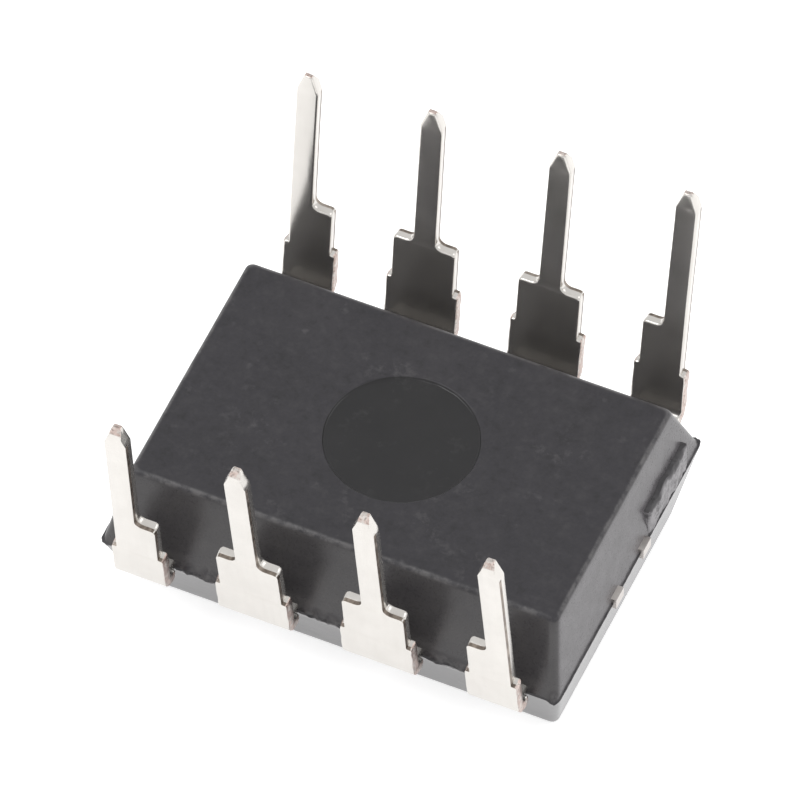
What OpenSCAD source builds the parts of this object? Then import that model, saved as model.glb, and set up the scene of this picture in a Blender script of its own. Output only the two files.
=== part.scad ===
// Eight-lead dual in-line plastic package, lying on its marked face with the leads up.
// X runs along the package and Y across the two rows of leads. Z runs up along the leads.
// Z = 0 is the marked face. The origin lies at its middle.

/* [Leads] */
// Distance between neighbouring leads of a row
pitch = 2.54; // [2.2:0.01:3.2]
// Thickness of the lead metal
lead_t = 0.25; // [0.2:0.01:0.3]
// Width of the narrow part of a lead
lead_w = 0.46; // [0.38:0.01:0.56]
// Width of the wide part of a lead
shoulder_w = 1.28; // [1.05:0.01:1.6]
// Length of the narrow part, from the seating plane to the tip
lead_l = 3.4; // [2.8:0.05:4.2]
// Outward lean of each row before it is put in a board, in degrees
splay = 8.85; // [3:0.05:12]
// Distance from the body's side to the outer face of the lead, at the parting line
lead_out = 0.525; // [0.5:0.005:0.7]
// Inner radius of the lead's bend
bend_r = 0.15; // [0.1:0.01:0.18]
// Radius in the inner corner of a shoulder
shoulder_fillet = 0.15; // [0.05:0.01:0.18]
// Radius on the outer corner of a shoulder
shoulder_round = 0.1; // [0.03:0.01:0.15]
// Height of the tapered point
taper_h = 0.41; // [0.3:0.01:0.6]
// Width left at the tip
tip_w = 0.17; // [0.1:0.01:0.25]
// Height of the chamfer on the outer face of the tip
tip_chamfer_h = 0.2; // [0.1:0.01:0.3]
// Thickness left at the tip
tip_t = 0.1; // [0.06:0.01:0.18]
// How far the trimmed dam bar stands out on each side of a lead
dam_stub = 0.1; // [0.04:0.01:0.15]
// Height of the trimmed dam bar above the bend
dam_h = 0.85; // [0.4:0.01:1.2]

/* [Moulded body] */
// Distance from the middle of the last lead to the end of the body
end_margin = 0.89; // [0.75:0.01:1.4]
// Width of the body at its parting line
body_w = 6.8; // [6.1:0.1:8.4]
// Thickness of the body
body_t = 3.2; // [2.6:0.1:4]
// Inset of each end face between the parting line and a flat face
end_draft = 0.31; // [0.1:0.01:0.4]
// Inset of each long side between the parting line and a flat face
side_draft = 0.66; // [0.15:0.01:0.8]
// Radius on the edges of the two flat faces
edge_r = 0.1; // [0.05:0.01:0.15]
// Width of the small flat on the upright corners of the body
corner_flat = 0.12; // [0.05:0.01:0.2]
// Height of the lead shoulders above the underside
standoff = 0.53; // [0.38:0.01:0.8]
// Diameter of the mark that the ejector pin leaves
ejector_d = 3.0; // [2:0.1:3.6]
// Depth of the mark that the ejector pin leaves
ejector_depth = 0.05; // [0.02:0.01:0.1]
// Diameter of the half-round notch at the end with lead 1
notch_d = 1.6; // [1:0.1:2]
// Depth of that notch
notch_depth = 0.45; // [0.2:0.05:0.6]
// Diameter of the dimple beside lead 1
dimple_d = 1.0; // [0.6:0.1:1.2]
// Depth of the dimple
dimple_depth = 0.1; // [0.05:0.01:0.2]
// Width of the stub left where the mould gate was broken off
gate_w = 1.8; // [1:0.1:2.2]
// Height of the gate stub, up from the parting line
gate_h = 0.65; // [0.3:0.05:0.8]
// How far the stub's broken face stays in from the edge of the parting line
gate_in = 0.02; // [0.01:0.01:0.1]
// Distance from the middle of the body to the middle of the gate stub
gate_y = 1.85; // [1.7:0.05:2.1]

/* [Lead frame inside the body] */
// Length of the pad under the die
pad_l = 3.2; // [2.6:0.1:3.9]
// Width of the pad under the die
pad_w = 2.4; // [2:0.1:2.8]
// How far the pad is set towards the underside from the leads
pad_offset = 0.2; // [0.1:0.01:0.3]
// Width of a tie bar
tie_w = 0.35; // [0.25:0.01:0.42]
// Distance of each tie bar from the middle of the pad
tie_y = 0.64; // [0.5:0.01:0.7]
// How far the cut tie bars stand out of the end faces
tie_out = 0.06; // [0.02:0.01:0.1]
// Gap between the pieces of the lead frame
frame_gap = 0.28; // [0.2:0.01:0.34]
// Width of a lead's finger inside the body
finger_w = 0.5; // [0.4:0.01:0.6]
// How far the wide part of a lead runs into the body
root_l = 0.85; // [0.7:0.01:0.95]
// Diameter of the hole that locks a lead in the resin
lock_hole_d = 0.42; // [0.3:0.01:0.48]

/* [Die and bond wires] */
// Length of the die
die_l = 1.7; // [1.4:0.05:2.2]
// Width of the die
die_w = 1.5; // [1.2:0.05:2]
// Thickness of the die
die_t = 0.28; // [0.2:0.01:0.36]
// Thickness of the adhesive under the die
attach_t = 0.03; // [0.02:0.005:0.05]
// How far the adhesive runs out beyond the die
attach_out = 0.06; // [0.02:0.01:0.1]
// Diameter of a bond wire
wire_d = 0.033; // [0.025:0.001:0.05]
// Diameter of the ball that holds a wire to the die
ball_d = 0.09; // [0.07:0.005:0.1]
// Thickness of the ball
ball_t = 0.02; // [0.01:0.005:0.03]
// Straight rise of a wire above its ball
neck_h = 0.07; // [0.05:0.01:0.1]
// Radius of a wire's loop
loop_r = 0.12; // [0.08:0.01:0.16]
// Distance from the die's edges to its bond pads
bond_inset = 0.15; // [0.1:0.01:0.2]
// Distance from a finger's end to where the wire lands
land_inset = 0.18; // [0.12:0.01:0.25]

/* [Hidden] */
$fn = 48;

leads_per_row = 4;
over = 0.5;                      // how far a cutting shape passes the surface that it cuts
body_l = (leads_per_row - 1) * pitch + 2 * end_margin;
parting_z = body_t / 2;
seat_z = body_t + standoff;
bend_out_r = bend_r + lead_t;
bend_z = parting_z + lead_t / 2 + bend_r;
outer_y = body_w / 2 + lead_out; // outer face of the leads at the parting line
bend_y = outer_y - bend_out_r * cos(splay)
    + (lead_t / 2 + bend_r - bend_out_r * sin(splay)) * tan(splay);
leg_z = bend_z - bend_out_r * sin(splay);
shoulder_v = (seat_z - leg_z) / cos(splay);
tip_v = shoulder_v + lead_l / cos(splay);
root_y = body_w / 2 - root_l;
lock_y = body_w / 2 - root_l / 2; // middle of the root, where its hole is
arm_y = tie_y + tie_w / 2 + frame_gap;
pad_z = parting_z + pad_offset - lead_t / 2;
attach_z = pad_z - attach_t;
die_z = attach_z - die_t;
finger_z = parting_z - lead_t / 2;
knuckle_d = 1.06 * wire_d;       // bead where a wire's loop turns into its straight run

// Row and place of each lead. Leads 1 to 4 stand on the +Y side and 5 to 8 come back on the -Y side.
function row(k) = k <= leads_per_row ? 1 : -1;
function column(k) = k <= leads_per_row ? k - 1 : 2 * leads_per_row - k;
function lead_x(k) = (column(k) - (leads_per_row - 1) / 2) * pitch;
function is_end(k) = column(k) == 0 || column(k) == leads_per_row - 1;
function end_side(k) = is_end(k) ? sign(lead_x(k)) : 0;
// Edges of the wide part, from the middle of the lead. An end lead is wide on its inner side only.
function wide_low(k) = end_side(k) < 0 ? -lead_w / 2 : -shoulder_w / 2;
function wide_high(k) = end_side(k) > 0 ? lead_w / 2 : shoulder_w / 2;

// ---- moulded body ----

// Corners of the body at its parting line and on a flat face at height z, before rounding
function parting_corner(sx, sy) = [sx * body_l / 2, sy * body_w / 2, parting_z];
function face_corner(sx, sy, z) = [sx * (body_l / 2 - end_draft), sy * (body_w / 2 - side_draft), z];
// Outward normals of an end face and a long side. The half is 1 above the parting line and -1 below it.
function unit(v) = v / norm(v);
function end_normal(sx, half) = unit([sx * parting_z, 0, half * end_draft]);
function side_normal(sy, half) = unit([0, sy * parting_z, half * side_draft]);

// What a rounded edge from a to b loses, between faces with outward normals n1 and n2
module edge_round(a, b, n1, n2, r) {
    along = unit(b - a);
    inward = -unit(n1 + n2);
    across = cross(along, inward);
    half_angle = (180 - acos(n1 * n2)) / 2;
    flat = r / tan(half_angle);
    middle = r / sin(half_angle);
    multmatrix([
        [inward[0], across[0], along[0], a[0]],
        [inward[1], across[1], along[1], a[1]],
        [inward[2], across[2], along[2], a[2]]])
        translate([0, 0, -over])
            linear_extrude(norm(b - a) + 2 * over)
                difference() {
                    polygon([[-over, 0],
                        [flat * cos(half_angle), flat * sin(half_angle)],
                        [middle, 0],
                        [flat * cos(half_angle), -flat * sin(half_angle)]]);
                    translate([middle, 0])
                        circle(r);
                }
}

// What an edge from a to b loses to a flat of the given width, between faces with outward normals n1 and n2
module edge_flat(a, b, n1, n2, width) {
    along = unit(b - a);
    inward = -unit(n1 + n2);
    across = cross(along, inward);
    depth = width / 2 / tan((180 - acos(n1 * n2)) / 2);
    multmatrix([
        [inward[0], across[0], along[0], a[0]],
        [inward[1], across[1], along[1], a[1]],
        [inward[2], across[2], along[2], a[2]]])
        translate([depth - over, -over, -over])
            cube([over, 2 * over, norm(b - a) + 2 * over]);
}

// Six-sided section across the body, drafted both ways from the parting line
module drafted_section(width, draft) {
    polygon([[-width / 2, parting_z], [-width / 2 + draft, 0], [width / 2 - draft, 0],
        [width / 2, parting_z], [width / 2 - draft, body_t], [-width / 2 + draft, body_t]]);
}

module drafted_block() {
    intersection() {
        translate([0, body_w / 2, 0])
            rotate([90, 0, 0])
                linear_extrude(body_w)
                    drafted_section(body_l, end_draft);
        translate([-body_l / 2, 0, 0])
            rotate([90, 0, 90])
                linear_extrude(body_l)
                    drafted_section(body_w, side_draft);
    }
}

module rounded_block() {
    difference() {
        drafted_block();
        for (half = [-1, 1]) {
            z = half > 0 ? body_t : 0;
            flat_normal = [0, 0, half];
            for (sy = [-1, 1])
                edge_round(face_corner(-1, sy, z), face_corner(1, sy, z), side_normal(sy, half),
                    flat_normal, edge_r);
            for (sx = [-1, 1]) {
                edge_round(face_corner(sx, -1, z), face_corner(sx, 1, z), end_normal(sx, half),
                    flat_normal, edge_r);
                for (sy = [-1, 1])
                    edge_flat(parting_corner(sx, sy), face_corner(sx, sy, z), side_normal(sy, half),
                        end_normal(sx, half), corner_flat);
            }
        }
    }
}

module lead_1_marks() {
    translate([-body_l / 2 + end_draft, 0, -over])
        cylinder(d = notch_d, h = notch_depth + over);
    translate([lead_x(1) + dimple_d / 2, body_w / 2 - side_draft - dimple_d, -over])
        cylinder(d = dimple_d, h = dimple_depth + over);
}

module ejector_mark() {
    translate([0, 0, body_t - ejector_depth])
        cylinder(d = ejector_d, h = ejector_depth + over);
}

// Wedge of epoxy between the sloped end and the upright plane where the gate broke
module gate_stub() {
    translate([body_l / 2 - end_draft, gate_y - gate_w / 2, parting_z])
        cube([end_draft - gate_in, gate_w, gate_h]);
}

module embedded() {
    for (k = [1:2 * leads_per_row]) {
        lead(k);
        wire(k);
    }
    die_pad();
    die_attach();
    die();
}

module body() {
    color([0.17, 0.16, 0.17])
        difference() {
            union() {
                rounded_block();
                gate_stub();
            }
            lead_1_marks();
            ejector_mark();
            embedded();
        }
}

// ---- leads ----

// Square of side r less a quarter circle
module corner_web(r) {
    difference() {
        square(r);
        translate([r, r])
            circle(r);
    }
}

// Outline of the leg in its own plane, from the end of the bend up to the tip
module leg_outline(low, high) {
    difference() {
        union() {
            translate([low, 0])
                square([high - low, shoulder_v]);
            translate([low - dam_stub, 0])
                square([high - low + 2 * dam_stub, dam_h]);
            polygon([[-lead_w / 2, 0], [lead_w / 2, 0], [lead_w / 2, tip_v - taper_h],
                [tip_w / 2, tip_v], [-tip_w / 2, tip_v], [-lead_w / 2, tip_v - taper_h]]);
            if (high > lead_w / 2)
                translate([lead_w / 2, shoulder_v])
                    corner_web(shoulder_fillet);
            if (low < -lead_w / 2)
                translate([-lead_w / 2, shoulder_v])
                    mirror([1, 0])
                        corner_web(shoulder_fillet);
        }
        if (high > lead_w / 2)
            translate([high, shoulder_v])
                rotate(180)
                    corner_web(shoulder_round);
        if (low < -lead_w / 2)
            translate([low, shoulder_v])
                rotate(-90)
                    corner_web(shoulder_round);
    }
}

// Slice that thins the tip on the outer face of the leg
module tip_slice() {
    rotate([90, 0, 90])
        linear_extrude(shoulder_w, center = true)
            polygon([[tip_v - tip_chamfer_h, lead_t], [tip_v, tip_t], [tip_v + over, tip_t],
                [tip_v + over, lead_t + over], [tip_v - tip_chamfer_h, lead_t + over]]);
}

// The bend and the leg are both placed about the middle of the bend
module leg(low, high) {
    translate([0, -bend_y, bend_z])
        rotate([90 + splay, 0, 0])
            translate([0, 0, bend_r])
                difference() {
                    linear_extrude(lead_t)
                        leg_outline(low, high);
                    tip_slice();
                }
}

module bend(low, high) {
    translate([0, -bend_y, bend_z])
        rotate([0, 90, 0])
            rotate([180, 0, 0])
                rotate_extrude(angle = 90 - splay)
                    translate([bend_r, -high - dam_stub])
                        square([lead_t, high - low + 2 * dam_stub]);
}

// Flat part of a lead, seen from above: the run from the bend into the body and the finger inside
module finger_outline(k) {
    low = wide_low(k);
    high = wide_high(k);
    side = end_side(k);
    difference() {
        union() {
            translate([low, -bend_y])
                square([high - low, bend_y - root_y]);
            translate([low - dam_stub, -bend_y])
                square([high - low + 2 * dam_stub, bend_y - body_w / 2 - dam_stub]);
            if (side == 0)
                translate([-finger_w / 2, -lock_y])
                    square([finger_w, lock_y - pad_w / 2 - frame_gap]);
            if (side != 0)
                end_finger_outline(side, abs(lead_x(k)));
        }
        translate([(low + high) / 2, -lock_y])
            circle(d = lock_hole_d);
    }
}

// Finger of an end lead: in from the middle of the root, then along X to the pad's corner
module end_finger_outline(side, x) {
    mirror([side > 0 ? 0 : 1, 0]) {
        translate([-finger_w / 2, -lock_y])
            square([finger_w, lock_y - arm_y]);
        translate([pad_l / 2 + frame_gap - x, -arm_y - finger_w])
            square([x - pad_l / 2 - frame_gap + finger_w / 2, finger_w]);
    }
}

module lead(k) {
    color([0.8, 0.79, 0.77])
        mirror([0, row(k) > 0 ? 1 : 0, 0])
            translate([lead_x(k), 0, 0]) {
                translate([0, 0, finger_z])
                    linear_extrude(lead_t)
                        finger_outline(k);
                bend(wide_low(k), wide_high(k));
                leg(wide_low(k), wide_high(k));
            }
}

// ---- die pad, adhesive and die ----

// Side view of a tie bar: flat at the pad, a slope down to the plane of the leads, flat to the end face
module tie_bar_section() {
    bottom = parting_z - lead_t / 2;
    slope_start = pad_l / 2 + frame_gap;
    slope_end = slope_start + 2 * pad_offset;
    reach = body_l / 2 + tie_out;
    polygon([[pad_l / 2, bottom + pad_offset], [slope_start, bottom + pad_offset], [slope_end, bottom],
        [reach, bottom], [reach, bottom + lead_t], [slope_end, bottom + lead_t],
        [slope_start, bottom + lead_t + pad_offset], [pad_l / 2, bottom + lead_t + pad_offset]]);
}

module die_pad() {
    color([0.72, 0.55, 0.42]) {
        translate([-pad_l / 2, -pad_w / 2, pad_z])
            cube([pad_l, pad_w, lead_t]);
        for (end = [0, 180], side = [-1, 1])
            rotate([0, 0, end])
                translate([0, side * tie_y + tie_w / 2, 0])
                    rotate([90, 0, 0])
                        linear_extrude(tie_w)
                            tie_bar_section();
    }
}

module die_attach() {
    color([0.75, 0.75, 0.72])
        translate([-die_l / 2 - attach_out, -die_w / 2 - attach_out, attach_z])
            cube([die_l + 2 * attach_out, die_w + 2 * attach_out, attach_t]);
}

module die() {
    color([0.35, 0.37, 0.42])
        translate([-die_l / 2, -die_w / 2, die_z])
            cube([die_l, die_w, die_t]);
}

// ---- bond wires ----

// Where the wire of lead k starts on the die and lands on its finger, in plan
function bond_x(k) = sign(lead_x(k)) * (is_end(k) ? die_l / 2 - bond_inset : die_l / 6);
function bond_y(k) = row(k) * (is_end(k) ? die_w / 4 : die_w / 2 - bond_inset);
function land_x(k) = is_end(k) ? sign(lead_x(k)) * (pad_l / 2 + frame_gap + land_inset) : lead_x(k);
function land_y(k) = row(k) * (is_end(k) ? arm_y + finger_w / 2 : pad_w / 2 + frame_gap + land_inset);

// A wire in its own plane: up from the ball, over the loop and straight down to the finger.
// It starts on the die at height 0 and lands at the given reach, drop below the die's face.
module wire_shape(reach, drop) {
    loop_z = ball_t + neck_h;
    to_land = norm([reach - loop_r, loop_z + drop]);
    slope = atan2(loop_z + drop, reach - loop_r) + asin(loop_r / to_land);
    run = sqrt(to_land * to_land - loop_r * loop_r);
    cylinder(d = ball_d, h = ball_t);
    cylinder(d = wire_d, h = loop_z);
    difference() {
        translate([loop_r, 0, loop_z])
            rotate([90, 0, 180]) {
                rotate_extrude(angle = 90 + slope)
                    translate([loop_r, 0])
                        circle(d = wire_d);
                rotate([0, 0, 90 + slope])
                    translate([loop_r, 0, 0]) {
                        sphere(d = knuckle_d);
                        rotate([-90, 0, 0])
                            cylinder(d = wire_d, h = run + over);
                    }
            }
        translate([reach - over, -over, -drop - 2 * over])
            cube([3 * over, 2 * over, 2 * over]);
    }
}

module wire(k) {
    span = [land_x(k) - bond_x(k), land_y(k) - bond_y(k)];
    color([0.83, 0.65, 0.25])
        translate([bond_x(k), bond_y(k), die_z])
            rotate([0, 0, atan2(span[1], span[0])])
                mirror([0, 0, 1])
                    wire_shape(norm(span), finger_z - die_z);
}

body();
lead(1);  // lead_1
lead(2);  // lead_2
lead(3);  // lead_3
lead(4);  // lead_4
lead(5);  // lead_5
lead(6);  // lead_6
lead(7);  // lead_7
lead(8);  // lead_8
die_pad();
die_attach();
die();
wire(1);  // wire_1
wire(2);  // wire_2
wire(3);  // wire_3
wire(4);  // wire_4
wire(5);  // wire_5
wire(6);  // wire_6
wire(7);  // wire_7
wire(8);  // wire_8
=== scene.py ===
"""Looks of a dual in-line chip package that lies on its marked face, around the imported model."""
import math

import bmesh
import bpy
import numpy as np
from mathutils import Matrix, Vector, noise


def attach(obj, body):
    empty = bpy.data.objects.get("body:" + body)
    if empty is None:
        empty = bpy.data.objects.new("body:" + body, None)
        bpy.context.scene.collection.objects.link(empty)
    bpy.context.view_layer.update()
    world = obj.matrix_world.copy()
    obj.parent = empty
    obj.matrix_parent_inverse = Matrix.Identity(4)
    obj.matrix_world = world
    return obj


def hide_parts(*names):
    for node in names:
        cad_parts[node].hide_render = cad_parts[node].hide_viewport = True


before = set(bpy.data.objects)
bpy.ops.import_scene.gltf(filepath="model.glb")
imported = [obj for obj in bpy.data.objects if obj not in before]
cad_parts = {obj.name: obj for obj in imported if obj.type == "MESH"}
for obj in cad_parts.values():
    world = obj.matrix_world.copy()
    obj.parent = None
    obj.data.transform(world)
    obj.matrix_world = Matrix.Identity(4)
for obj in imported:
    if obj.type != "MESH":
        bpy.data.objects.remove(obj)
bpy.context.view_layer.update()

MM = 0.001

# Package, in mm, as in the CAD
PITCH = 2.54
BODY_L, BODY_W, BODY_T = 9.4, 6.8, 3.2
END_DRAFT, SIDE_DRAFT = 0.31, 0.66
PARTING_Z = BODY_T / 2
EDGE_R = 0.1
CORNER_R = 0.15
EJECTOR_R, EJECTOR_DEPTH = 1.5, 0.05
EJECTOR_FLOOR_RINGS = (0.06, 0.2, 0.4, 0.6, 0.8, 1.0, 1.15, 1.3, 1.4, 1.445)
# Rim of the ejector pin's mark: (distance past its radius, height over the underside)
EJECTOR_RIM = ((-0.045, 0.002 - EJECTOR_DEPTH), (-0.030, 0.010 - EJECTOR_DEPTH),
               (-0.017, 0.027 - EJECTOR_DEPTH), (-0.007, -0.007), (0.004, 0.001), (0.018, 0.003),
               (0.036, 0.002), (0.058, 0.0005), (0.09, 0.0))
NOTCH_R, NOTCH_DEPTH = 0.8, 0.45
DIMPLE_R, DIMPLE_DEPTH = 0.5, 0.1
GATE_W, GATE_H, GATE_IN, GATE_Y = 1.8, 0.65, 0.02, 1.85
HALVES_STEP = 0.035          # the upper mould half stands in by this much at the parting line
FLASH_BAND = 0.1             # flash reaches this far above and below the parting line
FLASH_OUT, FLASH_OUT_END = 0.085, 0.012         # its size on the long sides and the ends
FLASH_GAPS, FLASH_GAPS_END = 0.12, 0.2          # the larger, the more gaps it has
FLASH_FROM, FLASH_FADE = 0.62, 0.12     # flash starts this far from the middle of a lead
# (height over the parting line, share of the flash's reach)
FLASH_PROFILE = ((FLASH_BAND, 0.0), (0.085, 0.45), (0.05, 0.85), (0.012, 1.0), (-0.002, 1.0),
                 (-0.014, 0.95), (-0.05, 0.8), (-0.08, 0.4), (-FLASH_BAND, 0.0))

# Leads, in mm, as in the CAD
LEADS_PER_ROW = 4
LEAD_T, LEAD_W, SHOULDER_W = 0.25, 0.46, 1.28
SPLAY = math.radians(8.85)
LEAD_OUT, BEND_R = 0.525, 0.15
LEAD_L, STANDOFF = 3.4, 0.53
SHOULDER_FILLET, SHOULDER_ROUND = 0.15, 0.1
TAPER_H, TIP_W, TIP_CHAMFER_H, TIP_T = 0.41, 0.17, 0.2, 0.1
DAM_STUB, DAM_H = 0.1, 0.85
STUB_ROUND = 0.06
FINGER_W, ROOT_L, LOCK_HOLE_R = 0.5, 0.85, 0.21
PAD_L, PAD_W, FRAME_GAP = 3.2, 2.4, 0.28
TIE_Y, TIE_W = 0.64, 0.35
SEAT_Z = BODY_T + STANDOFF
BEND_OUT_R = BEND_R + LEAD_T
BEND_ANGLE = math.pi / 2 - SPLAY
BEND_Z = PARTING_Z + LEAD_T / 2 + BEND_R
BEND_Y = (BODY_W / 2 + LEAD_OUT - BEND_OUT_R * math.cos(SPLAY)
          + (LEAD_T / 2 + BEND_R - BEND_OUT_R * math.sin(SPLAY)) * math.tan(SPLAY))
BEND_LEN = (BEND_R + LEAD_T / 2) * BEND_ANGLE
SHOULDER_V = (SEAT_Z - BEND_Z + BEND_OUT_R * math.sin(SPLAY)) / math.cos(SPLAY)
TIP_V = SHOULDER_V + LEAD_L / math.cos(SPLAY)


# ---------------------------------------------------------------- materials

class Nodes:
    """A short way to lay out a material's node tree."""

    def __init__(self, name):
        self.material = bpy.data.materials.new(name)
        self.material.use_nodes = True
        self.tree = self.material.node_tree
        self.shader = self.tree.nodes["Principled BSDF"]
        self.place = self.node("ShaderNodeTexCoord").outputs["Object"]
        self.place_axes = self.axes(self.place)

    def node(self, kind, inputs=None, **settings):
        made = self.tree.nodes.new(kind)
        for key, value in settings.items():
            setattr(made, key, value)
        for key, value in (inputs or {}).items():
            self.put(made.inputs[key], value)
        return made

    def put(self, socket, value):
        if isinstance(value, bpy.types.NodeSocket):
            self.tree.links.new(value, socket)
        else:
            socket.default_value = value

    def set(self, **values):
        for key, value in values.items():
            self.put(self.shader.inputs[key.replace("_", " ")], value)

    def noise(self, per_mm, detail=4.0, roughness=0.55, stretch=None):
        place = self.place
        if stretch:
            place = self.node("ShaderNodeMapping", {"Vector": place, "Scale": stretch}).outputs[0]
        return self.node("ShaderNodeTexNoise", {
            "Vector": place, "Scale": per_mm / MM, "Detail": detail,
            "Roughness": roughness}).outputs["Fac"]

    def ramp(self, value, *stops):
        """A smooth map from a value to numbers: stops are (place, number)."""
        made = self.node("ShaderNodeValToRGB", {"Fac": value})
        ramp = made.color_ramp
        while len(ramp.elements) < len(stops):
            ramp.elements.new(0.5)
        for element, (at, number) in zip(ramp.elements, stops):
            element.position = at
            colour = number if isinstance(number, tuple) else (number,) * 3
            element.color = (*colour, 1)
        return made.outputs["Color"]

    def mix(self, amount, a, b):
        made = self.node("ShaderNodeMix", data_type="RGBA")
        self.put(made.inputs["Factor"], amount)
        self.put(made.inputs["A"], (*a, 1) if isinstance(a, tuple) else a)
        self.put(made.inputs["B"], (*b, 1) if isinstance(b, tuple) else b)
        return made.outputs["Result"]

    def maths(self, operation, a, b=0.0):
        return self.node("ShaderNodeMath", {0: a, 1: b}, operation=operation).outputs[0]

    def times(self, a, b):
        return self.maths("MULTIPLY", a, b)

    def normal(self):
        """X, Y and Z of the surface normal."""
        return self.axes(self.node("ShaderNodeNewGeometry").outputs["Normal"])

    def bump(self, height, distance_mm, strength, normal=None):
        inputs = {"Height": height, "Distance": distance_mm * MM, "Strength": strength}
        if normal is not None:
            inputs["Normal"] = normal
        return self.node("ShaderNodeBump", inputs).outputs["Normal"]

    def axes(self, source):
        return self.node("ShaderNodeSeparateXYZ", {"Vector": source}).outputs


def epoxy():
    """Moulded black epoxy: mottled by its glass filler, with light specks here and there."""
    n = Nodes("moulded_epoxy")
    cloud = n.noise(0.9, 5, 0.6)
    grain = n.noise(14, 6, 0.7)
    fine = n.noise(60, 3, 0.6)
    base = n.mix(n.ramp(cloud, (0.3, 0.0), (0.7, 1.0)),
                 (0.0125, 0.0112, 0.0150), (0.0180, 0.0162, 0.0208))
    base = n.mix(n.ramp(grain, (0.35, 0.0), (0.7, 0.5)), base, (0.030, 0.028, 0.032))
    blotch = n.noise(4.5, 5, 0.62)
    base = n.mix(n.ramp(blotch, (0.52, 0.0), (0.75, 0.7)), base, (0.033, 0.031, 0.034))
    base = n.mix(n.ramp(blotch, (0.25, 0.75), (0.46, 0.0)), base, (0.006, 0.0055, 0.007))
    # Light smudges and specks where filler lies at the surface
    smudge = n.times(n.ramp(n.noise(2.6, 6, 0.7), (0.56, 0.0), (0.72, 1.0)),
                     n.ramp(n.noise(0.7, 2), (0.45, 0.0), (0.6, 1.0)))
    base = n.mix(n.times(smudge, 0.75), base, (0.062, 0.059, 0.062))
    base = n.mix(n.times(specks(n), 0.45), base, (0.085, 0.082, 0.085))
    # Edges of the flat faces are rubbed in places, but not the rim of the ejector pin's mark
    normal, place = n.normal(), n.place_axes
    steep = n.maths("ABSOLUTE", normal["Z"])
    across = n.node("ShaderNodeCombineXYZ", {"X": place["X"], "Y": place["Y"]}).outputs[0]
    away = n.node("ShaderNodeVectorMath", {0: across}, operation="LENGTH").outputs["Value"]
    rubbed = n.times(n.ramp(steep, (0.45, 0.0), (0.6, 1.0), (0.9, 1.0), (0.99, 0.0)),
                     n.ramp(n.noise(3.2, 6, 0.75), (0.42, 0.0), (0.58, 1.0)))
    rubbed = n.times(rubbed, n.maths("GREATER_THAN", away, (EJECTOR_R + 0.15) * MM))
    base = n.mix(rubbed, base, (0.080, 0.076, 0.078))
    # The drafted walls come off polished steel, so they are smoother than the flat faces. Painted
    # light: the walls also get a paler base colour, so the sides come out lighter
    wall = n.ramp(steep, (0.45, 1.0), (0.7, 0.0))
    base = n.mix(n.times(wall, n.ramp(n.noise(2.0, 5, 0.6), (0.3, 0.55), (0.7, 1.0))),
                 base, (0.051, 0.048, 0.049))
    # The walls of the marked half are glossier, and a little paler: that paler base colour is
    # painted light
    below = n.maths("LESS_THAN", place["Z"], (PARTING_Z - 0.004) * MM)
    base = n.mix(n.times(wall, below), base,
                 n.mix(n.ramp(n.noise(6, 4, 0.6), (0.3, 0.0), (0.7, 1.0)),
                       (0.045, 0.042, 0.045), (0.065, 0.061, 0.065)))
    # Painted light: the package's ends get a paler grey base colour, patchy by noise, so they come
    # out lighter than the long sides
    end = n.ramp(n.maths("ABSOLUTE", normal["X"]), (0.8, 0.0), (0.95, 1.0))
    base = n.mix(n.times(end, n.ramp(n.noise(3.5, 6, 0.65), (0.35, 0.5), (0.65, 1.0))),
                 base, (0.105, 0.099, 0.105))
    # The ejector pin's mark is smoother. Its darker base colour is painted shade, standing in for
    # the sheen that it lacks
    disc = n.times(n.maths("LESS_THAN", away, (EJECTOR_R - 0.01) * MM),
                   n.maths("GREATER_THAN", place["Z"], (BODY_T - EJECTOR_DEPTH - 0.03) * MM))
    base = n.mix(disc, base, n.mix(n.ramp(cloud, (0.3, 0.0), (0.7, 1.0)),
                                   (0.0025, 0.0022, 0.003), (0.006, 0.0055, 0.0065)))
    base = n.mix(n.times(disc, n.times(smudge, 0.5)), base, (0.035, 0.034, 0.035))
    rough = n.mix(wall, n.ramp(grain, (0.3, 0.38), (0.75, 0.5)),
                  n.ramp(grain, (0.3, 0.25), (0.75, 0.33)))
    rough = n.mix(n.times(wall, below), rough, (0.2, 0.2, 0.2))
    rough = n.mix(disc, rough, (0.3, 0.3, 0.3))
    deep = n.bump(n.noise(2.2, 5, 0.6), 0.010, 0.5)
    smooth = n.maths("MAXIMUM", n.times(disc, 0.45), n.times(wall, 0.6))
    bumps = n.bump(n.mix(0.35, grain, fine), 0.0035, n.maths("SUBTRACT", 0.75, smooth), deep)
    n.set(Base_Color=base, Roughness=rough, Normal=bumps, IOR=1.5)
    return n.material


def specks(n):
    """Scattered small spots with uneven outlines, 1 in a spot and 0 outside."""
    push = n.node("ShaderNodeTexNoise", {"Vector": n.place, "Scale": 6 / MM, "Detail": 3})
    bent = n.node("ShaderNodeVectorMath", {0: push.outputs["Color"], 1: (0.16 * MM,) * 3,
                                           2: n.place}, operation="MULTIPLY_ADD")
    cells = n.node("ShaderNodeTexVoronoi", {"Vector": bent.outputs["Vector"], "Scale": 1.9 / MM,
                                            "Randomness": 1.0})
    return n.times(n.ramp(cells.outputs["Distance"], (0.04, 1.0), (0.15, 0.0)),
                   n.ramp(n.noise(1.7, 2), (0.50, 0.0), (0.62, 1.0)))


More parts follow.
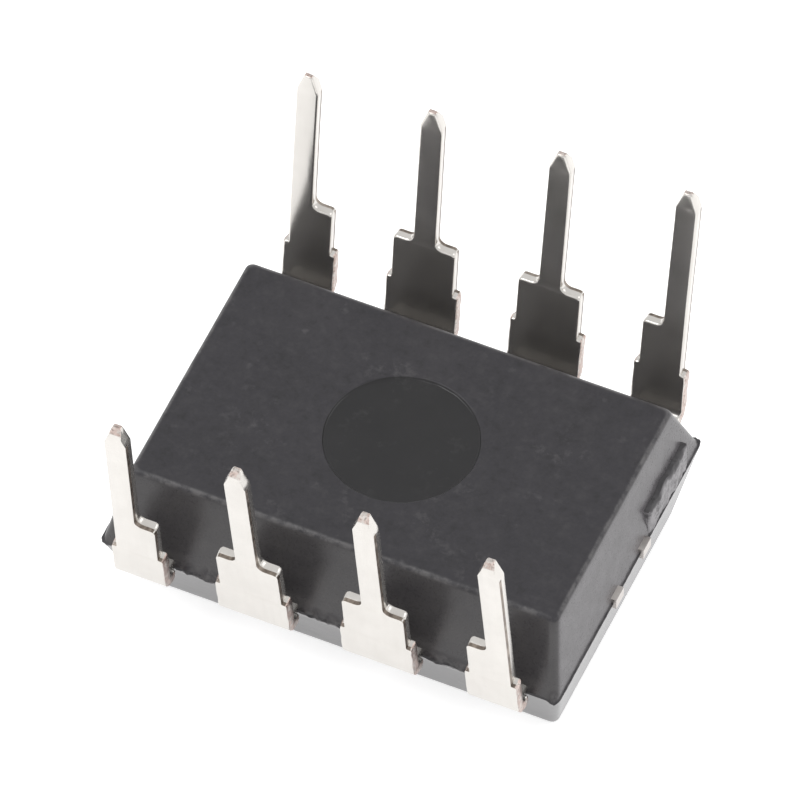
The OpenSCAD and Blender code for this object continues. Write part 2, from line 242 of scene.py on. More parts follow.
def broken_epoxy():
    """Torn face of the gate stub: paler, granular, with dark pits."""
    n = Nodes("broken_epoxy")
    grain = n.noise(11, 6, 0.7)
    pits = n.noise(5, 4, 0.6)
    base = n.mix(n.ramp(grain, (0.35, 0.0), (0.65, 1.0)),
                 (0.13, 0.125, 0.13), (0.31, 0.30, 0.31))
    base = n.mix(n.ramp(pits, (0.34, 0.75), (0.46, 0.0)), base, (0.025, 0.023, 0.026))
    # Painted shade: the upward-facing ledge along its top gets a darker base colour
    ledge_painted_shade = n.ramp(n.normal()["Z"], (0.3, 0.0), (0.7, 0.9))
    base = n.mix(ledge_painted_shade, base, (0.05, 0.048, 0.051))
    n.set(Base_Color=base, Roughness=n.ramp(grain, (0.3, 0.45), (0.7, 0.7)),
          Normal=n.bump(grain, 0.015, 0.8))
    return n.material


def tin():
    """Matte tin plating: soft grain, faint drawing lines along the lead, a little tarnish."""
    n = Nodes("tin_plate")
    grain = n.noise(30, 5, 0.6)
    cloud = n.noise(1.6, 4, 0.6)
    lines = n.noise(9, 3, 0.5, stretch=(1.0, 0.08, 0.08))
    base = n.mix(n.ramp(cloud, (0.35, 0.0), (0.7, 1.0)),
                 (0.600, 0.578, 0.548), (0.645, 0.622, 0.592))
    base = n.mix(n.ramp(lines, (0.45, 0.0), (0.75, 0.3)), base, (0.555, 0.53, 0.50))
    rough = n.ramp(n.mix(0.5, grain, cloud), (0.3, 0.18), (0.7, 0.26))
    normal = n.bump(grain, 0.0004, 0.4, n.bump(lines, 0.0012, 0.35))
    n.set(Base_Color=base, Metallic=0.94, Roughness=rough, Normal=normal)
    return n.material


def sheared_side():
    """Torn band of a die-cut side: dark and brownish, streaked across the strip's thickness."""
    n = Nodes("sheared_side")
    streak = n.noise(12, 4, 0.6, stretch=(1, 0.3, 1))
    patch = n.noise(2.5, 3, 0.6)
    base = n.mix(n.ramp(streak, (0.35, 0.0), (0.65, 1.0)),
                 (0.125, 0.102, 0.086), (0.27, 0.23, 0.195))
    base = n.mix(n.ramp(patch, (0.5, 0.0), (0.68, 0.8)), base, (0.44, 0.39, 0.345))
    n.set(Base_Color=base, Metallic=1.0, Roughness=n.ramp(streak, (0.3, 0.35), (0.7, 0.55)),
          Normal=n.bump(streak, 0.008, 0.8))
    return n.material


def cut_copper():
    """Copper alloy where the strip was cut after plating, with tin smeared over part of it."""
    n = Nodes("cut_copper")
    streak = n.noise(16, 5, 0.65, stretch=(1, 0.3, 0.3))
    smear = n.noise(8, 3, 0.6)
    base = n.mix(n.ramp(streak, (0.35, 0.0), (0.65, 1.0)),
                 (0.42, 0.325, 0.29), (0.62, 0.52, 0.48))
    base = n.mix(n.ramp(smear, (0.48, 0.0), (0.6, 0.85)), base, (0.62, 0.59, 0.56))
    base = n.mix(n.ramp(n.noise(20, 3), (0.36, 0.6), (0.46, 0.0)), base, (0.16, 0.12, 0.105))
    n.set(Base_Color=base, Metallic=1.0, Roughness=n.ramp(streak, (0.3, 0.28), (0.7, 0.5)),
          Normal=n.bump(n.mix(0.5, streak, smear), 0.014, 0.9))
    return n.material


def bare_copper():
    """Half-hard copper alloy strip of the die pad, faintly rolled and a little oxidised."""
    n = Nodes("strip_copper")
    rolled = n.noise(12, 4, 0.5, stretch=(0.1, 1, 1))
    cloud = n.noise(1.5, 4)
    base = n.mix(n.ramp(cloud, (0.35, 0.0), (0.7, 1.0)), (0.56, 0.46, 0.41), (0.68, 0.59, 0.54))
    base = n.mix(n.ramp(n.noise(10, 3), (0.45, 0.0), (0.6, 0.6)), base, (0.74, 0.70, 0.67))
    # The ends of its tie bars, cut at the package's ends, are smeared grey
    ends = n.maths("GREATER_THAN", n.maths("ABSOLUTE", n.place_axes["X"]),
                   (BODY_L / 2 - 0.1) * MM)
    base = n.mix(n.times(ends, 0.8), base, (0.62, 0.595, 0.575))
    n.set(Base_Color=base, Metallic=1.0, Roughness=n.ramp(rolled, (0.3, 0.28), (0.7, 0.45)),
          Normal=n.bump(rolled, 0.004, 0.6))
    return n.material


def silver_adhesive():
    """Silver-filled epoxy under the die."""
    n = Nodes("silver_adhesive")
    flake = n.noise(35, 5, 0.7)
    base = n.mix(n.ramp(flake, (0.35, 0.0), (0.65, 1.0)), (0.42, 0.41, 0.40), (0.70, 0.69, 0.67))
    n.set(Base_Color=base, Metallic=0.8, Roughness=n.ramp(flake, (0.3, 0.38), (0.7, 0.6)),
          Normal=n.bump(flake, 0.004, 0.7))
    return n.material


def silicon():
    """Die: dark glassy oxide over faint blocks of circuitry, with lighter lines between them."""
    n = Nodes("silicon_die")
    blocks = n.node("ShaderNodeTexBrick", {
        "Vector": n.place, "Color1": (0.055, 0.075, 0.10, 1), "Color2": (0.13, 0.115, 0.16, 1),
        "Mortar": (0.30, 0.31, 0.30, 1), "Scale": 1 / MM, "Mortar Size": 0.012,
        "Brick Width": 0.31, "Row Height": 0.17, "Bias": -0.1}).outputs["Color"]
    fine = n.noise(40, 2)
    base = n.mix(n.ramp(fine, (0.4, 0.0), (0.6, 0.5)), blocks, (0.16, 0.19, 0.22))
    n.set(Base_Color=base, Metallic=0.35, Roughness=n.ramp(fine, (0.3, 0.14), (0.7, 0.24)))
    return n.material


def gold():
    """Drawn gold bond wire."""
    n = Nodes("gold_wire")
    draw = n.noise(50, 3, 0.5, stretch=(0.4, 0.4, 1))
    base = n.mix(n.ramp(draw, (0.35, 0.0), (0.65, 1.0)), (0.86, 0.60, 0.24), (0.98, 0.76, 0.38))
    n.set(Base_Color=base, Metallic=1.0, Roughness=n.ramp(draw, (0.3, 0.16), (0.7, 0.3)))
    return n.material


def pale_table():
    """White sweep that the chip lies on. It glows a little, as an overexposed lit table does."""
    n = Nodes("pale_table")
    cloud = n.noise(0.02, 3)
    n.set(Base_Color=n.mix(n.ramp(cloud, (0.3, 0.0), (0.7, 1.0)), (0.74, 0.74, 0.74),
                           (0.76, 0.76, 0.76)),
          Roughness=0.9, Emission_Color=(1, 1, 1, 1), Emission_Strength=0.62)
    return n.material


# ---------------------------------------------------------------- mesh tools

def finish_mesh(name, bm, materials, sharp_deg, weighted=True):
    """Makes the object: mm to metres, smooth shading with sharp edges, weighted normals."""
    bmesh.ops.scale(bm, vec=(MM, MM, MM), verts=bm.verts)
    bmesh.ops.recalc_face_normals(bm, faces=bm.faces)
    mesh = bpy.data.meshes.new(name)
    bm.to_mesh(mesh)
    bm.free()
    for material in materials:
        mesh.materials.append(material)
    mesh.shade_smooth()
    mesh.set_sharp_from_angle(angle=math.radians(sharp_deg))
    made = bpy.data.objects.new(name, mesh)
    bpy.context.scene.collection.objects.link(made)
    if weighted:
        modifier = made.modifiers.new("normals", "WEIGHTED_NORMAL")
        modifier.keep_sharp = True
        settle(made)
    return made


def settle(made):
    """Applies an object's modifiers."""
    bpy.context.view_layer.update()
    seen = made.evaluated_get(bpy.context.evaluated_depsgraph_get())
    mesh = bpy.data.meshes.new_from_object(seen)
    old = made.data
    made.modifiers.clear()
    made.data = mesh
    mesh.name = made.name
    bpy.data.meshes.remove(old)


def wobble(x, y, z, scale, seed=0.0):
    """Smooth noise between -1 and 1 at a place in mm."""
    return noise.noise(Vector((x * scale + seed, y * scale - seed, z * scale + 2 * seed)))


def uneven(kind, x, y, z, seed):
    """Wobble of a kind, given as (size, fineness)."""
    size, scale = kind
    return size * wobble(x, y, z, scale, seed)


# ---------------------------------------------------------------- package

# How the shell is laid out: columns round it and rings down it
END_COLUMNS, SIDE_COLUMNS, CORNER_COLUMNS = 78, 168, 6
EDGE_STEPS = 6
UNDERSIDE_RINGS, WALL_RINGS, MARKED_FACE_RINGS = 20, 12, 25
NEAR_EDGE = 0.2              # what lies this near a face or a long side counts as part of it
CUTTER_SEGMENTS = 96
PACKAGE_SHARP_DEG = 38
LEAD_X = [(k - (LEADS_PER_ROW - 1) / 2) * PITCH for k in range(LEADS_PER_ROW)]

# Unevenness as (size, fineness): flat faces, outline, rim and floor of the ejector pin's mark
FACE_WAVE, FACE_GRAIN = (0.004, 0.8), (0.0015, 3.5)
SWELL, RIM_RAGGED, EJECTOR_RIPPLE = (0.0006, 0.9), (0.01, 4.0), (0.0015, 9)

# The gate stub, with its unevenness as (size, fineness)
GATE_COLUMNS, GATE_ROWS = 90, 34
GATE_BELOW, GATE_INSIDE = 0.03, 0.15    # how far it reaches below the parting line, and inwards
GATE_OUT, GATE_MOST_OUT = 0.005, 0.03   # how far its torn face stands out, mostly and at most
GATE_RIM = (0.05, 0.12)                 # shares of its width and height that fall back
GATE_RIM_BACK = 0.05
GATE_TORN, GATE_GRAIN = (0.035, 3.0), (0.022, 9.0)
GATE_ENDS, GATE_TOP = (0.05, 4.0), (0.06, 2.6)


def rounded_rectangle(half_x, half_y, radius):
    """Points anticlockwise round a rectangle with rounded corners, always as many."""
    points = []
    cx, cy = half_x - radius, half_y - radius
    for turn, (sx, sy) in enumerate(((1, 1), (-1, 1), (-1, -1), (1, -1))):
        for i in range(CORNER_COLUMNS):
            a = math.pi / 2 * (turn + i / (CORNER_COLUMNS - 1))
            points.append((sx * cx + radius * math.cos(a), sy * cy + radius * math.sin(a)))
        last = points[-1]
        count = SIDE_COLUMNS if turn % 2 == 0 else END_COLUMNS
        nx, ny = (-sx * cx, last[1]) if turn % 2 == 0 else (last[0], -sy * cy)
        for i in range(1, count):
            t = i / count
            points.append((last[0] + (nx - last[0]) * t, last[1] + (ny - last[1]) * t))
    return np.array(points)


def half_sizes(z):
    """Half length and half width of the drafted package at height z."""
    away = abs(z - PARTING_Z) / PARTING_Z
    step = HALVES_STEP if z > PARTING_Z else 0.0
    return BODY_L / 2 - END_DRAFT * away - step, BODY_W / 2 - SIDE_DRAFT * away - step


def outline_at(z, inset=0.0):
    """The package's outline at height z, moved in by the inset."""
    half_x, half_y = half_sizes(z)
    return rounded_rectangle(half_x - inset, half_y - inset, CORNER_R)


def edge_profile():
    """(inset from the drafted wall, height) from the underside's edge down to the wall."""
    angles = [math.pi / 2 * i / EDGE_STEPS for i in range(EDGE_STEPS + 1)]
    return [(EDGE_R * (1 - math.sin(a)), BODY_T - EDGE_R * (1 - math.cos(a))) for a in angles]


def flash(x, y):
    """How far thin resin flash stands out at the parting line, ragged between the leads."""
    ragged = abs(wobble(x, y, 0, 5.5, 3.1)) + 0.6 * abs(wobble(x, y, 0, 17, 8.7))
    if abs(y) > BODY_W / 2 - NEAR_EDGE:
        near = min(abs(x - at) for at in LEAD_X)
        between = max(0.0, min(1.0, (near - FLASH_FROM) / FLASH_FADE))
        return between * FLASH_OUT * max(0.0, ragged - FLASH_GAPS)
    return FLASH_OUT_END * max(0.0, ragged - FLASH_GAPS_END)


def underside_rings(inner):
    """Rings over the ejector pin's mark and on to the underside's edge, given as its outline."""
    angles = np.arctan2(inner[:, 1], inner[:, 0])
    circle = np.stack([np.cos(angles), np.sin(angles)], 1)
    size, fineness = EJECTOR_RIPPLE
    rings = [(circle * r, BODY_T - EJECTOR_DEPTH + size * math.cos(r * fineness))
             for r in EJECTOR_FLOOR_RINGS]
    ragged = np.array([1 + uneven(RIM_RAGGED, x, y, 0, 4.0) for x, y in circle * EJECTOR_R])
    for past, dz in EJECTOR_RIM:
        rings.append((circle * (EJECTOR_R + past) * ragged[:, None], BODY_T + dz))
    start = circle * (EJECTOR_R + EJECTOR_RIM[-1][0])
    for i in range(1, UNDERSIDE_RINGS):
        rings.append((start + (inner - start) * i / UNDERSIDE_RINGS, BODY_T))
    return rings


def wall_rings(start, end):
    """Rings down a drafted wall, between two heights that have rings of their own."""
    heights = [start + (end - start) * i / WALL_RINGS for i in range(1, WALL_RINGS)]
    return [(outline_at(z), z) for z in heights]


def flash_rings():
    """Rings across the parting line, pushed out by the flash."""
    rings = []
    for dz, share in FLASH_PROFILE:
        ring = outline_at(PARTING_Z + dz)
        out = np.array([flash(x, y) * share for x, y in ring])
        reach = np.hypot(ring[:, 0], ring[:, 1])
        side = np.abs(ring[:, 1]) > BODY_W / 2 - NEAR_EDGE
        push = np.where(side[:, None], np.stack([0 * out, np.sign(ring[:, 1])], 1),
                        ring / reach[:, None])
        rings.append((ring + push * out[:, None], PARTING_Z + dz))
    return rings


def package_rings():
    """Rings of (points, height) from the middle of the underside to that of the marked face."""
    inner = outline_at(BODY_T, EDGE_R)
    rings = underside_rings(inner)
    rings += [(outline_at(z, inset), z) for inset, z in edge_profile()]
    rings += wall_rings(BODY_T - EDGE_R, PARTING_Z + FLASH_BAND)
    rings += flash_rings()
    rings += wall_rings(PARTING_Z - FLASH_BAND, EDGE_R)
    rings += [(outline_at(BODY_T - z, inset), BODY_T - z)
              for inset, z in reversed(edge_profile())]
    rings += [(inner * (1 - i / MARKED_FACE_RINGS), 0.0) for i in range(1, MARKED_FACE_RINGS)]
    return rings


def package_shell():
    """The moulded body as one closed shell: columns round it, rings down it."""
    bm = bmesh.new()
    rows = []
    for ring, z in package_rings():
        row = []
        for x, y in ring:
            dz = 0.0
            if z > BODY_T - NEAR_EDGE or z < NEAR_EDGE:
                dz = uneven(FACE_WAVE, x, y, z, 5.0) + uneven(FACE_GRAIN, x, y, z, 1.0)
            if z < NEAR_EDGE:
                dz = abs(dz)
            swell = 1 + uneven(SWELL, x, y, z, 9.0)
            row.append(bm.verts.new((x * swell, y * swell, z + dz)))
        rows.append(row)
    count = len(rows[0])
    for upper, lower in zip(rows, rows[1:]):
        for i in range(count):
            j = (i + 1) % count
            bm.faces.new((upper[i], upper[j], lower[j], lower[i]))
    for row, flip in ((rows[0], False), (rows[-1], True)):
        z = sum(v.co.z for v in row) / count
        middle = bm.verts.new((0, 0, z))
        for i in range(count):
            j = (i + 1) % count
            face = (middle, row[i], row[j])
            bm.faces.new(tuple(reversed(face)) if flip else face)
    bmesh.ops.recalc_face_normals(bm, faces=bm.faces)
    return bm


def turned_cutter(name, centre, profile):
    """A closed turned shape about an upright axis, from (radius, height) rows, to cut with."""
    bm = bmesh.new()
    angles = [2 * math.pi * i / CUTTER_SEGMENTS for i in range(CUTTER_SEGMENTS)]
    rows = [[bm.verts.new((centre[0] + r * math.cos(a), centre[1] + r * math.sin(a), z))
             for a in angles] for r, z in profile]
    for a, b in zip(rows, rows[1:]):
        for i in range(CUTTER_SEGMENTS):
            j = (i + 1) % CUTTER_SEGMENTS
            bm.faces.new((a[i], a[j], b[j], b[i]))
    bm.faces.new(rows[0])
    bm.faces.new(rows[-1])
    return cutter_object(name, bm)


def cutter_object(name, bm):
    bmesh.ops.recalc_face_normals(bm, faces=bm.faces)
    mesh = bpy.data.meshes.new(name)
    bm.to_mesh(mesh)
    bm.free()
    made = bpy.data.objects.new(name, mesh)
    bpy.context.scene.collection.objects.link(made)
    return made


def gate_face():
    """Points of the gate stub's torn face, as rows from the bottom up."""
    rows = []
    for j in range(GATE_ROWS + 1):
        row = []
        v = j / GATE_ROWS
        for i in range(GATE_COLUMNS + 1):
            u = i / GATE_COLUMNS
            y = GATE_Y + (u - 0.5) * GATE_W
            z = PARTING_Z - GATE_BELOW + v * (GATE_H + GATE_BELOW)
            ragged = uneven(GATE_TORN, 0, y, z, 2.0) + uneven(GATE_GRAIN, 0, y, z, 6.0)
            rim = min(1.0, min(u, 1 - u) / GATE_RIM[0], (1 - v) / GATE_RIM[1])
            x = BODY_L / 2 - GATE_IN + GATE_OUT - GATE_RIM_BACK * (1 - rim) ** 2 + ragged
            y += uneven(GATE_ENDS, 0, 0, z, 4.0) * (1 - rim)
            z += uneven(GATE_TOP, 0, y, 0, 7.0) * v ** 2
            row.append((min(x, BODY_L / 2 + GATE_MOST_OUT), y, z))
        rows.append(row)
    return rows


def gate_stub():
    """What is left of the gate at one end: a block with a torn upright face and ragged ends."""
    bm = bmesh.new()
    inside = BODY_L / 2 - END_DRAFT - GATE_INSIDE
    rows = gate_face()
    face = [[bm.verts.new(point) for point in row] for row in rows]
    back = [[bm.verts.new((inside, y, z)) for x, y, z in row] for row in rows]
    for grid in (face, back):
        for j in range(GATE_ROWS):
            for i in range(GATE_COLUMNS):
                made = bm.faces.new((grid[j][i], grid[j][i + 1],
                                     grid[j + 1][i + 1], grid[j + 1][i]))
                made.material_index = 1 if grid is face else 0
    rim = ([(0, i) for i in range(GATE_COLUMNS)]
           + [(j, GATE_COLUMNS) for j in range(GATE_ROWS)]
           + [(GATE_ROWS, i) for i in range(GATE_COLUMNS, 0, -1)]
           + [(j, 0) for j in range(GATE_ROWS, 0, -1)])
    for (j, i), (m, k) in zip(rim, rim[1:] + rim[:1]):
        made = bm.faces.new((face[j][i], face[m][k], back[m][k], back[j][i]))
        made.material_index = 1
    return cutter_object("gate_stub", bm)


def recess(name, centre, radius, depth, flare, lip, rounding):
    """A cutter for a round recess: flared at its mouth and rounded at its floor."""
    return turned_cutter(name, centre, (
        (radius + flare, -0.5), (radius + flare, -0.01), (radius, lip),
        (radius - 0.02, depth - rounding[1]), (radius - rounding[0], depth)))


def make_package(moulded, broken):
    """The package with its gate stub joined on and its lead 1 marks cut in."""
    shell = cutter_object("package", package_shell())
    notch = recess("notch_cutter", (-BODY_L / 2 + END_DRAFT, 0.0), NOTCH_R, NOTCH_DEPTH,
                   flare=0.06, lip=0.05, rounding=(0.07, 0.05))
    dimple = recess("dimple_cutter",
                    (LEAD_X[0] + DIMPLE_R, BODY_W / 2 - SIDE_DRAFT - 2 * DIMPLE_R),
                    DIMPLE_R, DIMPLE_DEPTH, flare=0.02, lip=0.015, rounding=(0.06, 0.03))
    stub = gate_stub()
    for made in (shell, notch, dimple, stub):
        made.data.materials.append(moulded)
        made.data.materials.append(broken)
    for tool, operation in ((stub, "UNION"), (notch, "DIFFERENCE"), (dimple, "DIFFERENCE")):
        modifier = shell.modifiers.new(tool.name, "BOOLEAN")
        modifier.operation = operation
        modifier.solver = "EXACT"
        modifier.object = tool
    settle(shell)
    for tool in (stub, notch, dimple):
        bpy.data.objects.remove(tool)
    bm = bmesh.new()
    bm.from_mesh(shell.data)
    bpy.data.objects.remove(shell)
    return finish_mesh("package", bm, [moulded, broken], PACKAGE_SHARP_DEG, weighted=False)


# ---------------------------------------------------------------- leads

# (inset of the outline, height through the thickness from the inner face): a die-cut edge,
# rolled over on the inner face and with a small burr on the outer face
CUT_EDGE = ((0.045, 0.0), (0.028, 0.004), (0.014, 0.015), (0.004, 0.038), (0.0, 0.07),
            (0.0, 0.13), (0.006, 0.165), (0.011, 0.2), (0.012, 0.232), (0.014, 0.243),
            (0.028, 0.25))
TORN_FROM, TORN_TO = 0.17, 0.24       # the torn band of a cut side, through the thickness
# How far each lead's tip leans away from its drawn place, in mm along X and Y
TIP_LEAN = ((-0.042, -0.22), (-0.105, -0.073), (-0.039, -0.005), (-0.046, 0.10),
            (0.044, -0.096), (0.056, -0.059), (0.0, -0.075), (0.114, -0.061))
TIP_TWIST_DEG = (4.2, 0.5, -0.6, -1.2, 0.8, 0.4, -0.5, 0.9)
TWIST_FROM, TWIST_OVER = 0.36, 0.4    # the twist grows over these shares of the leg's length
LEG_S = BEND_Y + BEND_LEN             # where the leg, the shoulder and the tip lie on a blank
SHOULDER_S, TIP_S = LEG_S + SHOULDER_V, LEG_S + TIP_V
CHAMFER_MARK = 0.62                   # share of the tip's chamfer that is bare copper
CORNER_SOFTEN = 0.03
SOFTEN_STEPS, HOLE_SEGMENTS, BEND_CUTS, LEG_CUTS = 2, 32, 12, 22
LEG_CUTS_IN = (0.2, 0.3)              # the leg's cuts keep this far from its two ends
STRAIGHT_DEG = 150                    # a corner flatter than this stays as it is
MITRE_LIMIT = 0.35
LEAD_SHARP_DEG = 42
STUB_END, TIP_END = 0.03, 0.05        # this much of a stub's end and of the tip is ragged
# Unevenness of a lead as (size, fineness)
STUB_ROUGH, TIP_ROUGH, LEAD_BOW, LEAD_WAVE = (0.014, 9), (0.006, 14), (0.008, 0.5), (0.0015, 3)
# How squarely a face must look out to count as the tip's chamfer, the tip's end or a cut side,
# and how little a stub's cut end may look up or down
CHAMFER_FACING, TIP_FACING, SIDE_FACING, STUB_LEVEL = 0.95, 0.8, 0.75, 0.6
STUB_MARK, TIP_MARK = 0.55, 0.02      # share of a stub, and length of the tip, that is bare


def arc(cx, cy, r, start, end, steps):
    """Points on an arc, angles in degrees."""
    return [(cx + r * math.cos(math.radians(start + (end - start) * i / steps)),
             cy + r * math.sin(math.radians(start + (end - start) * i / steps)))
            for i in range(steps + 1)]


def blank_side(edge, wide):
    """Right-hand outline of a flat blank, from the root up to the tip, as (x, path) points."""
    half = LEAD_W / 2
    stub_from, stub_to = BODY_W / 2 + DAM_STUB, LEG_S + DAM_H
    points = [(edge, stub_from), (edge + DAM_STUB, stub_from)]
    points += arc(edge + DAM_STUB - STUB_ROUND, stub_to - STUB_ROUND, STUB_ROUND, 0, 90, 4)
    points += [(edge, stub_to)]
    if wide:
        points += arc(edge - SHOULDER_ROUND, SHOULDER_S - SHOULDER_ROUND, SHOULDER_ROUND,
                      0, 90, 5)
        points += arc(half + SHOULDER_FILLET, SHOULDER_S + SHOULDER_FILLET, SHOULDER_FILLET,
                      270, 180, 6)
    points += [(half, TIP_S - TAPER_H), (TIP_W / 2, TIP_S)]
    return points


def blank_outline(column):
    """Anticlockwise outline of one lead's flat blank, with its finger inside the package."""
    side = -1 if column == 0 else 1 if column == LEADS_PER_ROW - 1 else 0
    low = -LEAD_W / 2 if side < 0 else -SHOULDER_W / 2
    high = LEAD_W / 2 if side > 0 else SHOULDER_W / 2
    right = blank_side(high, side <= 0)
    left = [(-x, s) for x, s in blank_side(-low, side >= 0)]
    root = BODY_W / 2 - ROOT_L
    half = FINGER_W / 2
    if side == 0:
        reach = PAD_W / 2 + FRAME_GAP
        finger = [(-half, root), (-half, reach), (half, reach), (half, root)]
    else:
        arm = TIE_Y + TIE_W / 2 + FRAME_GAP
        reach = PAD_L / 2 + FRAME_GAP - abs(LEAD_X[column])
        finger = [(-half, root), (-half, arm + FINGER_W), (reach, arm + FINGER_W), (reach, arm),
                  (half, arm), (half, root)]
        if side < 0:
            finger = [(-x, s) for x, s in reversed(finger)]
    outline = [(low, root)] + finger + [(high, root)] + right + left[::-1]
    kept = []
    for point in outline:
        if not kept or math.dist(point, kept[-1]) > 1e-5:
            kept.append(point)
    return kept, (low, high)


def soften(points, size):
    """Rounds each sharp corner of an outline by about the size."""
    out = []
    count = len(points)
    for i, p in enumerate(points):
        a, b = Vector(points[i - 1]), Vector(points[(i + 1) % count])
        p = Vector(p)
        to_a, to_b = a - p, b - p
        turn = to_a.angle(to_b)
        if turn > math.radians(STRAIGHT_DEG):
            out.append(tuple(p))
            continue
        cut = min(size, to_a.length * 0.4, to_b.length * 0.4)
        start, end = p + to_a.normalized() * cut, p + to_b.normalized() * cut
        for k in range(SOFTEN_STEPS + 1):
            t = k / SOFTEN_STEPS
            out.append(tuple(start * (1 - t) ** 2 + p * 2 * t * (1 - t) + end * t ** 2))
    return out


def offset(points, distance):
    """An outline moved in by a distance (out if it is negative)."""
    out = []
    count = len(points)
    for i in range(count):
        a, p, b = (Vector(points[(i + k) % count]) for k in (-1, 0, 1))
        na = Vector((-(p - a).y, (p - a).x)).normalized()
        nb = Vector((-(b - p).y, (b - p).x)).normalized()
        middle = na + nb
        middle = middle / max(MITRE_LIMIT, middle.length_squared / 2)
        out.append(tuple(p + middle * distance))
    return out


def bend_path(x, s, w):
    """Where a point of the flat blank goes on the formed lead of the -Y row."""
    if s <= BEND_Y:
        return Vector((x, -s, BEND_Z - BEND_R - w))
    turn = min(BEND_ANGLE, (s - BEND_Y) / BEND_LEN * BEND_ANGLE)
    along = max(0.0, s - BEND_Y - BEND_LEN)
    out = Vector((0, -math.sin(turn), -math.cos(turn)))
    tangent = Vector((0, -math.cos(turn), math.sin(turn)))
    place = Vector((x, -BEND_Y, BEND_Z)) + out * (BEND_R + w)
    return place + tangent * along


def plate(outline, hole):
    """A flat blank with die-cut edges, as rings of its outline and hole through the thickness."""
    bm = bmesh.new()
    grids = []
    for points in (outline, hole):
        grids.append([[bm.verts.new((x, s, w)) for x, s in offset(points, inset)]
                      for inset, w in CUT_EDGE])
    for grid in grids:
        count = len(grid[0])
        for a, b in zip(grid, grid[1:]):
            for i in range(count):
                j = (i + 1) % count
                bm.faces.new((a[i], b[i], b[j], a[j]))
    for level in (0, -1):
        edges = []
        for grid in grids:
            row = grid[level]
            for a, b in zip(row, row[1:] + row[:1]):
                edges.append(bm.edges.get((a, b)))
        bmesh.ops.triangle_fill(bm, use_beauty=True, use_dissolve=False, edges=edges)
    bmesh.ops.recalc_face_normals(bm, faces=bm.faces)
    return bm


def cut_plane(bm, place, normal, clear=False):
    """Cuts a mesh by a plane, and with clear removes what is in front and closes the cut."""
    geometry = bm.verts[:] + bm.edges[:] + bm.faces[:]
    made = bmesh.ops.bisect_plane(bm, geom=geometry, plane_co=place, plane_no=normal, dist=1e-6,
                                  clear_outer=clear)
    if clear:
        rim = [e for e in made["geom_cut"] if isinstance(e, bmesh.types.BMEdge)]
        bmesh.ops.triangle_fill(bm, use_beauty=True, use_dissolve=False, edges=rim)


def cut_rows(bm):
    """Cuts a blank across where it will bend, and often enough for its leg to be uneven."""
    places = [BEND_Y + BEND_LEN * i / BEND_CUTS for i in range(BEND_CUTS + 1)]
    places.append(TIP_S - TIP_CHAMFER_H * CHAMFER_MARK)
    places += list(np.linspace(LEG_S + LEG_CUTS_IN[0], TIP_S - LEG_CUTS_IN[1], LEG_CUTS))
    for s in places:
        cut_plane(bm, (0, s, 0), (0, 1, 0))


def mark_cut_faces(bm, low, high):
    """Gives a blank's faces their finish: 1 is cut copper, 2 the torn band of a cut side."""
    slope = Vector((0, LEAD_T - TIP_T, TIP_CHAMFER_H)).normalized()
    bm.normal_update()
    for face in bm.faces:
        middle, normal = face.calc_center_median(), face.normal
        stub = (middle.x > high + DAM_STUB * STUB_MARK
                or middle.x < low - DAM_STUB * STUB_MARK)
        chamfer = (normal.dot(slope) > CHAMFER_FACING
                   and middle.y > TIP_S - TIP_CHAMFER_H * CHAMFER_MARK)
        tip = middle.y > TIP_S - TIP_MARK and normal.y > TIP_FACING
        if chamfer or tip or (stub and abs(normal.z) < STUB_LEVEL):
            face.material_index = 1
        elif (max(abs(normal.x), normal.y) > SIDE_FACING and TORN_FROM < middle.z < TORN_TO
              and middle.y < TIP_S - TAPER_H):
            face.material_index = 2


def form(bm, number, column, low, high):
    """Bends a blank into its lead, with that lead's lean, twist and small unevenness."""
    mirror = -1 if number <= LEADS_PER_ROW else 1      # leads 1 to 4 stand in the +Y row
    seed = number * 1.7
    lean_x, lean_y = TIP_LEAN[number - 1]
    twist = math.tan(math.radians(TIP_TWIST_DEG[number - 1]))
    for v in bm.verts:
        x, s, w = v.co
        rough = 0.0
        if x > high + DAM_STUB - STUB_END or x < low - DAM_STUB + STUB_END:
            rough = uneven(STUB_ROUGH, 0, s, w, seed)
        if s > TIP_S - TIP_END:
            rough += uneven(TIP_ROUGH, x, s, w, seed)
        bow = uneven(LEAD_BOW, 0, s, 0, seed)
        up = max(0.0, s - LEG_S) / TIP_V
        turned = x * twist * max(0.0, min(1.0, (up - TWIST_FROM) / TWIST_OVER))
        place = bend_path(x + rough + bow, s, w - turned)
        place.z += uneven(LEAD_WAVE, x, s, w, seed)
        v.co = (LEAD_X[column] + place.x + lean_x * up, place.y * mirror + lean_y * up, place.z)


def make_lead(number, finishes):
    """One formed lead: a die-cut blank, bent down at the root and cut to a point at the tip."""
    column = number - 1 if number <= LEADS_PER_ROW else 2 * LEADS_PER_ROW - number
    outline, (low, high) = blank_outline(column)
    hole = [((low + high) / 2 + LOCK_HOLE_R * math.cos(a),
             BODY_W / 2 - ROOT_L / 2 + LOCK_HOLE_R * math.sin(a))
            for a in np.linspace(0, -2 * math.pi, HOLE_SEGMENTS + 1)[:-1]]
    bm = plate(soften(outline, CORNER_SOFTEN), hole)
    cut_plane(bm, (0, TIP_S, TIP_T), (0, LEAD_T - TIP_T, TIP_CHAMFER_H), clear=True)
    cut_rows(bm)
    mark_cut_faces(bm, low, high)
    form(bm, number, column, low, high)
    made = finish_mesh(f"formed_lead_{number}", bm, finishes, LEAD_SHARP_DEG)
    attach(made, "root")
    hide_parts(f"lead_{number}")


# ---------------------------------------------------------------- scene

TABLE_HALF = 1.2             # metres
WORLD_STRENGTH = 0.95
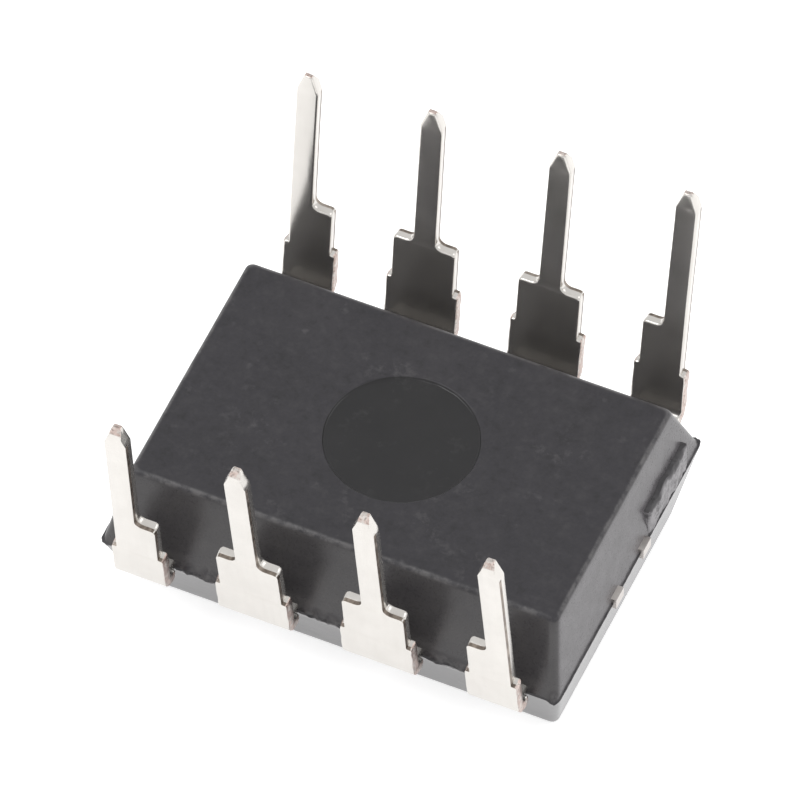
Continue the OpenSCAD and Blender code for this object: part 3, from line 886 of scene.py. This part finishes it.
# (name, place in metres, size in metres, power in watts)
LAMPS = (("key", (-0.35, -0.25, 0.55), 0.35, 1.4), ("fill", (0.5, 0.3, 0.4), 0.4, 0.6))
CAMERA_AT = (0.083288, -0.190512, 0.273306)
CAMERA_LOOK = (-0.24512, 0.56042, -0.7911)
CAMERA_ROLL_DEG = 0.33
CAMERA_LENS = 818.8
CAMERA_SENSOR = 36
CLIP_FROM, CLIP_TO = 0.01, 20


def give(node, material):
    """A CAD node keeps its shape and gets a finished material."""
    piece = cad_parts[node]
    piece.data.materials.clear()
    piece.data.materials.append(material)


def make_floor():
    mesh = bpy.data.meshes.new("table")
    bm = bmesh.new()
    bmesh.ops.create_grid(bm, x_segments=8, y_segments=8, size=TABLE_HALF)
    bm.to_mesh(mesh)
    bm.free()
    mesh.materials.append(pale_table())
    floor = bpy.data.objects.new("table", mesh)
    bpy.context.scene.collection.objects.link(floor)


def make_light():
    world = bpy.data.worlds.new("studio")
    world.use_nodes = True
    background = world.node_tree.nodes["Background"]
    background.inputs["Color"].default_value = (1.0, 1.0, 1.0, 1)
    background.inputs["Strength"].default_value = WORLD_STRENGTH
    bpy.context.scene.world = world
    for name, place, size, power in LAMPS:
        data = bpy.data.lights.new(name, "AREA")
        data.size = size
        data.energy = power
        lamp = bpy.data.objects.new(name, data)
        lamp.location = place
        lamp.rotation_euler = (-Vector(place)).to_track_quat("-Z", "Y").to_euler()
        bpy.context.scene.collection.objects.link(lamp)


def make_camera():
    data = bpy.data.cameras.new("camera")
    data.sensor_width = CAMERA_SENSOR
    data.lens = CAMERA_LENS
    data.clip_start = CLIP_FROM
    data.clip_end = CLIP_TO
    camera = bpy.data.objects.new("camera", data)
    turn = Vector(CAMERA_LOOK).to_track_quat("-Z", "Y").to_matrix()
    turn = turn @ Matrix.Rotation(math.radians(CAMERA_ROLL_DEG), 3, "Z")
    camera.matrix_world = Matrix.Translation(CAMERA_AT) @ turn.to_4x4()
    bpy.context.scene.collection.objects.link(camera)
    bpy.context.scene.camera = camera


make_camera()
make_floor()
make_light()

package = make_package(epoxy(), broken_epoxy())
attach(package, "root")
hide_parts("body")
lead_finishes = [tin(), cut_copper(), sheared_side()]
for number in range(1, 2 * LEADS_PER_ROW + 1):
    make_lead(number, lead_finishes)
give("die_pad", bare_copper())
give("die_attach", silver_adhesive())
give("die", silicon())
wire_gold = gold()
for number in range(1, 2 * LEADS_PER_ROW + 1):
    give(f"wire_{number}", wire_gold)

bpy.context.scene.view_settings.view_transform = "Standard"
